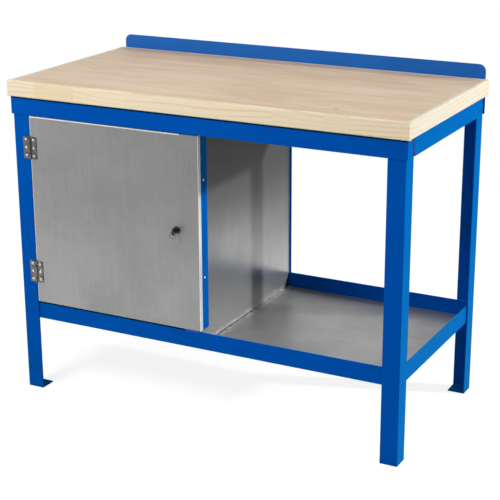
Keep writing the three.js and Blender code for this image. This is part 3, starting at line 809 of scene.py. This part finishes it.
def weld_stile(material):
    """The bead where the cupboard's front stile stands on the lower rail."""
    stile_low, stile_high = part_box("cupboard_stile")
    rail_low, rail_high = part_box("lower_rail_front")
    y = rail_low.y + STILE_WELD_SINK
    z = rail_high.z - STILE_WELD_SINK
    start = (stile_low.x + STILE_WELD_LEFT, y, z)
    stop = (stile_high.x - STILE_WELD_RIGHT, y, z)
    weld_bead("weld_stile", start, stop, material)


def weld_feet(material):
    """Beads inside the legs, on the foot plates."""
    for place in ("front", "back"):
        for end in ("left", "right"):
            low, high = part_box(f"leg_{place}_{end}")
            x = low.x + ANGLE_WALL if end == "left" else high.x - ANGLE_WALL
            y = low.y + ANGLE_WALL if place == "front" else high.y - ANGLE_WALL
            left = (low.x + FOOT_WELD_INSET, y, low.z)
            right = (high.x - FOOT_WELD_INSET, y, low.z)
            weld_bead(f"weld_foot_{place}_{end}_x", left, right, material)
            front = (x, low.y + FOOT_WELD_INSET, low.z)
            back = (x, high.y - FOOT_WELD_INSET, low.z)
            weld_bead(f"weld_foot_{place}_{end}_y", front, back, material)


def cross_recess(x, y, radius):
    """Depth of a cross recess at a point of a screw head."""
    arm = min(abs(x), abs(y))
    reach = max(abs(x), abs(y)) / (radius * SLOT_REACH)
    if arm > SLOT_HALF_WIDTH or reach > 1.0:
        return 0.0
    return SLOT_DEPTH * (1.0 - reach ** 2 * SLOT_SLOPE)


def round_dimple(x, y, radius):
    """Depth of the round hole left by a blind rivet's mandrel."""
    return SLOT_DEPTH if math.hypot(x, y) < radius * DIMPLE_SHARE else 0.0


def rim(radius):
    """Points round a fastener, as x and y, half a step away from the axes."""
    turns = [2 * math.pi * (side + 0.5) / HEAD_SIDES for side in range(HEAD_SIDES)]
    return [(radius * math.cos(turn), radius * math.sin(turn)) for turn in turns]


def fastener_head(node, facing, rise, recess, body, material):
    """Stands for a plain fastener: a domed head with a recess, on the fastener's own shank."""
    low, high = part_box(node)
    facing = Vector(facing)
    axis = max(range(3), key=lambda place: abs(facing[place]))
    first, second = [place for place in range(3) if place != axis]
    crown = high[axis] if facing[axis] > 0 else low[axis]
    tail = low[axis] if facing[axis] > 0 else high[axis]
    radius = (high[first] - low[first]) / 2
    shank_radius = radius * SHANK_SHARE
    seat = (low + high) / 2
    seat[axis] = crown - facing[axis] * rise
    shank_end = abs(tail - seat[axis])
    head = bmesh.new()

    def point(x, y, height):
        spot = seat + facing * height
        spot[first] += x
        spot[second] += y
        return head.verts.new(spot)

    rings = []
    for ring in range(HEAD_RINGS + 1):
        share = (ring + 1) / (HEAD_RINGS + 1)
        dome = rise * math.sqrt(1.0 - (share * DOME_SHARE) ** DOME_POWER)
        rings.append([point(x, y, dome - recess(x, y, radius)) for x, y in rim(radius * share)])
    rings.append([point(x, y, 0.0) for x, y in rim(radius)])
    rings.append([point(x, y, 0.0) for x, y in rim(shank_radius)])
    rings.append([point(x, y, -shank_end) for x, y in rim(shank_radius)])
    close_rings(head, rings)
    piece = new_piece(f"{node}_head", head, material, body)
    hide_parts(node)


def add_fasteners(material):
    """Heads of the hinge screws, the upstand's screws and the cupboard's rivets."""
    for place in ("lower", "upper"):
        for owner, body in (("leg", "bench"), ("door", "door")):
            for index in (1, 2, 3):
                screw = f"hinge_{place}_{owner}_screw_{index}"
                fastener_head(screw, (0, -1, 0), SCREW_RISE, cross_recess, body, material)
    for index in (1, 2, 3):
        fastener_head(f"upstand_screw_{index}", (0, 1, 0), SCREW_RISE, cross_recess, "bench", material)
    for index in (1, 2):
        fastener_head(f"panel_rivet_{index}", (1, 0, 0), RIVET_RISE, round_dimple, "bench", material)


def dress_frame():
    """The blue angle frame, its upstand and its welds."""
    blues = (BLUE, BLUE_WORN)
    paint = blue_paint("blue_paint", blues, FRAME_GLOSS, BLOOM)
    upstand_paint = blue_paint("blue_paint_upstand", (BLUE_LIT, BLUE_LIT_WORN), UPSTAND_GLOSS, NO_BLOOM)
    # The front rails get painted shadow along their top edges, below the worktop and below the door
    top_rail_shadow = rail_painted_shadow("top_rail_front", TOP_JOINT, cad_high.x)
    top_rail_paint = blue_paint("blue_paint_top_rail", blues, FRAME_GLOSS, BLOOM, top_rail_shadow)
    under_door_shadow = rail_painted_shadow("lower_rail_front", DOOR_JOINT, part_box("cupboard_stile")[0].x)
    lower_rail_paint = blue_paint("blue_paint_lower_rail", blues, FRAME_GLOSS, BLOOM, under_door_shadow)
    # The welds' second tone is the lighter, painted-light copy of the blue
    weld_paint = blue_paint("blue_paint_weld", (BLUE_WORN, BLUE_LIT_WORN), WELD_GLOSS, NO_BLOOM)
    corners = ("front_left", "front_right", "back_right", "back_left")
    other_sides = ("back", "left", "right")
    dress([f"leg_{corner}" for corner in corners], paint, ANGLE_ROUND)
    dress([f"foot_plate_{corner}" for corner in corners], paint, ANGLE_ROUND)
    dress([f"top_rail_{side}" for side in other_sides], paint, ANGLE_ROUND)
    dress([f"lower_rail_{side}" for side in other_sides], paint, ANGLE_ROUND)
    dress(["top_rail_front"], top_rail_paint, ANGLE_ROUND)
    dress(["lower_rail_front"], lower_rail_paint, ANGLE_ROUND)
    dress(["cupboard_stile", "cupboard_rear_stile"], paint, ANGLE_ROUND)
    dress(["upstand"], upstand_paint, SHEET_ROUND)
    weld_top_rails(weld_paint)
    weld_lower_rails(weld_paint)
    weld_stile(weld_paint)
    weld_feet(weld_paint)


def dress_sheets():
    """The galvanised door, cupboard panels and shelf."""
    plain_zinc = (ZINC, ZINC_DULL)
    lit_zinc = (ZINC_LIT, ZINC_LIT_DULL)
    upright = UPRIGHT_ROUGHNESS
    # The door gets painted highlights along its bends and right return
    door = galvanised("galvanised_door", plain_zinc, UPRIGHT_STREAKS, DOOR_METAL, upright, door_highlights)
    # The cupboard's side gets the lighter copy of the zinc, painted light, with painted reflection and
    # shade on top
    side = galvanised("galvanised_side", lit_zinc, UPRIGHT_STREAKS, SIDE_METAL, upright, panel_light_and_wear)
    inner = galvanised("galvanised_inner", plain_zinc, UPRIGHT_STREAKS, DOOR_METAL, upright)
    flat = galvanised("galvanised_flat", plain_zinc, FLAT_STREAKS, SHELF_METAL, SHELF_ROUGHNESS, shelf_wear)
    dress(["door_panel"], door, DOOR_ROUND, DOOR_SEGMENTS, door_bends())
    dress(["cupboard_panel_right"], side, SHEET_ROUND)
    dress(["cupboard_panel_left", "cupboard_panel_back"], inner, SHEET_ROUND)
    dress(["lower_shelf"], flat, SHEET_ROUND)


def dress_worktop():
    """The ply face, its core and the pine lippings round it."""
    dress(["worktop_face"], ply_face(), SMALL_ROUND)
    dress(["worktop_core"], core_board(), SMALL_ROUND)
    dress(["lipping_front", "lipping_back"], pine_long(), TIMBER_ROUND)
    dress(["lipping_left", "lipping_right"], pine_end(), TIMBER_ROUND)


def dress_fittings():
    """The hinges, the lock with its key, and the fasteners."""
    plate = steel("bright_steel", **BRIGHT_STEEL)
    hinge_steel = steel("dull_steel", **DULL_STEEL)
    lock_steel = steel("dark_steel", **DARK_STEEL)
    for place in ("lower", "upper"):
        pieces = ("leg_leaf", "door_leaf", "pin")
        dress([f"hinge_{place}_{piece}" for piece in pieces], hinge_steel, SMALL_ROUND)
    dress(["lock_nut", "lock_cam", "cam_screw"], plate, SMALL_ROUND)
    dress(["lock_body", "lock_plug", "key", "key_ring"], lock_steel, SMALL_ROUND)
    add_fasteners(plate)


def seen_directly(tree):
    """1 where a ray comes from the camera, or from metal or glass that shows what is behind it."""
    rays = tree.nodes.new("ShaderNodeLightPath").outputs
    total = rays["Is Camera Ray"]
    for kind in ("Is Glossy Ray", "Is Transmission Ray"):
        larger = tree.nodes.new("ShaderNodeMath")
        larger.operation = "MAXIMUM"
        tree.links.new(total, larger.inputs[0])
        tree.links.new(rays[kind], larger.inputs[1])
        total = larger.outputs[0]
    return total


def build_world():
    """Plain surroundings: a low light on the bench, and white where they are seen."""
    world = bpy.data.worlds.new("studio")
    bpy.context.scene.world = world
    world.use_nodes = True
    tree = world.node_tree
    background = tree.nodes["Background"]
    background.inputs["Color"].default_value = (1.0, 1.0, 1.0, 1.0)
    level = tree.nodes.new("ShaderNodeMapRange")
    level.inputs["To Min"].default_value = AMBIENT
    level.inputs["To Max"].default_value = BACKDROP
    tree.links.new(seen_directly(tree), level.inputs["Value"])
    tree.links.new(level.outputs["Result"], background.inputs["Strength"])


def bare_material(name):
    """A material whose output has nothing linked to it yet."""
    material = bpy.data.materials.new(name)
    material.use_nodes = True
    tree = material.node_tree
    tree.nodes.remove(tree.nodes["Principled BSDF"])
    return material, tree, tree.nodes["Material Output"].inputs["Surface"]


def build_floor():
    """A pale floor that shows white to the camera, with the bench's soft shadow on it."""
    material, tree, surface = bare_material("studio_floor")
    bounce = tree.nodes.new("ShaderNodeBsdfDiffuse")
    bounce.inputs["Color"].default_value = (FLOOR_BOUNCE, FLOOR_BOUNCE, FLOOR_BOUNCE, 1.0)
    shown = tree.nodes.new("ShaderNodeBsdfDiffuse")
    shown.inputs["Color"].default_value = (FLOOR_DIFFUSE, FLOOR_DIFFUSE, FLOOR_DIFFUSE, 1.0)
    glow = tree.nodes.new("ShaderNodeEmission")
    glow.inputs["Strength"].default_value = FLOOR_GLOW
    near = tree.nodes.new("ShaderNodeAddShader")
    far = tree.nodes.new("ShaderNodeEmission")
    place = tree.nodes.new("ShaderNodeTexCoord")
    distance = tree.nodes.new("ShaderNodeVectorMath")
    distance.operation = "LENGTH"
    fade = tree.nodes.new("ShaderNodeMapRange")
    fade.interpolation_type = "SMOOTHSTEP"
    fade.inputs["From Min"].default_value = FLOOR_FADE[0]
    fade.inputs["From Max"].default_value = FLOOR_FADE[1]
    ground = tree.nodes.new("ShaderNodeMixShader")
    choice = tree.nodes.new("ShaderNodeMixShader")
    link = tree.links.new
    link(shown.outputs[0], near.inputs[0])
    link(glow.outputs[0], near.inputs[1])
    link(place.outputs["Object"], distance.inputs[0])
    link(distance.outputs["Value"], fade.inputs["Value"])
    link(fade.outputs["Result"], ground.inputs[0])
    link(near.outputs[0], ground.inputs[1])
    link(far.outputs[0], ground.inputs[2])
    link(seen_directly(tree), choice.inputs[0])
    link(bounce.outputs[0], choice.inputs[1])
    link(ground.outputs[0], choice.inputs[2])
    link(choice.outputs[0], surface)
    bpy.ops.mesh.primitive_plane_add(size=FLOOR_SIZE, location=(0, 0, 0))
    floor = bpy.context.object
    floor.name = "studio_floor"
    floor.data.materials.append(material)


def build_flags():
    """Dark studio flags beside the bench, that only the metal mirrors."""
    for name, card in FLAGS.items():
        material, tree, surface = bare_material(name)
        tone = tree.nodes.new("ShaderNodeEmission")
        tone.inputs["Strength"].default_value = card["tone"]
        tree.links.new(tone.outputs[0], surface)
        bpy.ops.mesh.primitive_plane_add(size=1.0, location=card["place"], rotation=card["held"])
        flag = bpy.context.object
        flag.name = name
        flag.scale = (*card["size"], 1.0)
        flag.data.materials.append(material)
        flag.visible_camera = False
        flag.visible_diffuse = False
        flag.visible_shadow = False


def build_lamps():
    """Square softboxes that all point at the bench."""
    for name, lamp in LAMPS.items():
        light = bpy.data.lights.new(name, "AREA")
        light.shape = "SQUARE"
        light.size = lamp["size"]
        light.energy = lamp["power"]
        holder = bpy.data.objects.new(name, light)
        holder.location = lamp["place"]
        holder.rotation_euler = (LAMP_AIM - holder.location).to_track_quat("-Z", "Y").to_euler()
        bpy.context.scene.collection.objects.link(holder)


def build_camera():
    """The photo's camera, with everything in focus."""
    camera = bpy.data.cameras.new("camera")
    camera.sensor_width = SENSOR_WIDTH
    camera.lens = FOCAL_PIXELS / PHOTO_SIZE * SENSOR_WIDTH
    camera.clip_end = CAMERA_REACH
    holder = bpy.data.objects.new("camera", camera)
    holder.location = CAMERA_PLACE
    holder.rotation_euler = [math.radians(angle) for angle in CAMERA_TURN]
    bpy.context.scene.collection.objects.link(holder)
    bpy.context.scene.camera = holder


bpy.context.scene.view_settings.view_transform = "Standard"
build_camera()
build_world()
build_floor()
build_flags()
build_lamps()
dress_frame()
dress_sheets()
dress_worktop()
dress_fittings()
